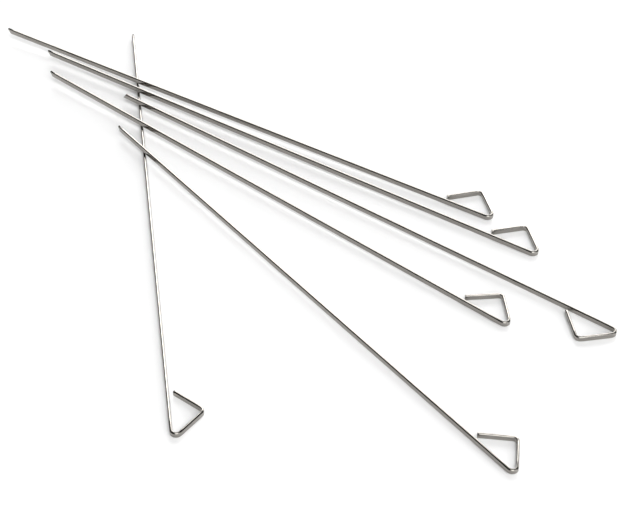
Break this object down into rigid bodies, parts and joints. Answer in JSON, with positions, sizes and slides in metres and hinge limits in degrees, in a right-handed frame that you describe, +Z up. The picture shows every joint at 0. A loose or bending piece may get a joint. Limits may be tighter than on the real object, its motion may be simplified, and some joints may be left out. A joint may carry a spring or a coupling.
{
  "type": "grill skewer set",
  "caption": "Flat-strip metal skewers with oblique points and open triangular grips, laid as a fan with their points propped across one of their own kind.",
  "frame": {"origin": "centre of the set's footprint, on the floor plane", "axes": "+Z up; the propping skewer's bar lies along Y with its point towards +Y; the other skewers fan out with their grips towards +X"},
  "size_m": [0.2792, 0.3484, 0.0073],
  "materials": {
    "stainless_strip": "cold-drawn stainless strip, satin to bright, faint lengthwise drawing lines"
  },
  "bodies": {
    "prop": {"prop_skewer": "stainless_strip"},
    "fan_1": {"fan_skewer_1": "stainless_strip"},
    "fan_2": {"fan_skewer_2": "stainless_strip"},
    "fan_3": {"fan_skewer_3": "stainless_strip"},
    "fan_4": {"fan_skewer_4": "stainless_strip"},
    "fan_5": {"fan_skewer_5": "stainless_strip"}
  },
  "joints": [
    {"name": "fan_1_lift", "type": "slide", "parent": "prop", "child": "fan_1", "axis": [0, 0, 1], "range_m": [0, 0.06]},
    {"name": "fan_2_lift", "type": "slide", "parent": "prop", "child": "fan_2", "axis": [0, 0, 1], "range_m": [0, 0.06]},
    {"name": "fan_3_lift", "type": "slide", "parent": "prop", "child": "fan_3", "axis": [0, 0, 1], "range_m": [0, 0.06]},
    {"name": "fan_4_lift", "type": "slide", "parent": "prop", "child": "fan_4", "axis": [0, 0, 1], "range_m": [0, 0.06]},
    {"name": "fan_5_lift", "type": "slide", "parent": "prop", "child": "fan_5", "axis": [0, 0, 1], "range_m": [0, 0.06]}
  ]
}
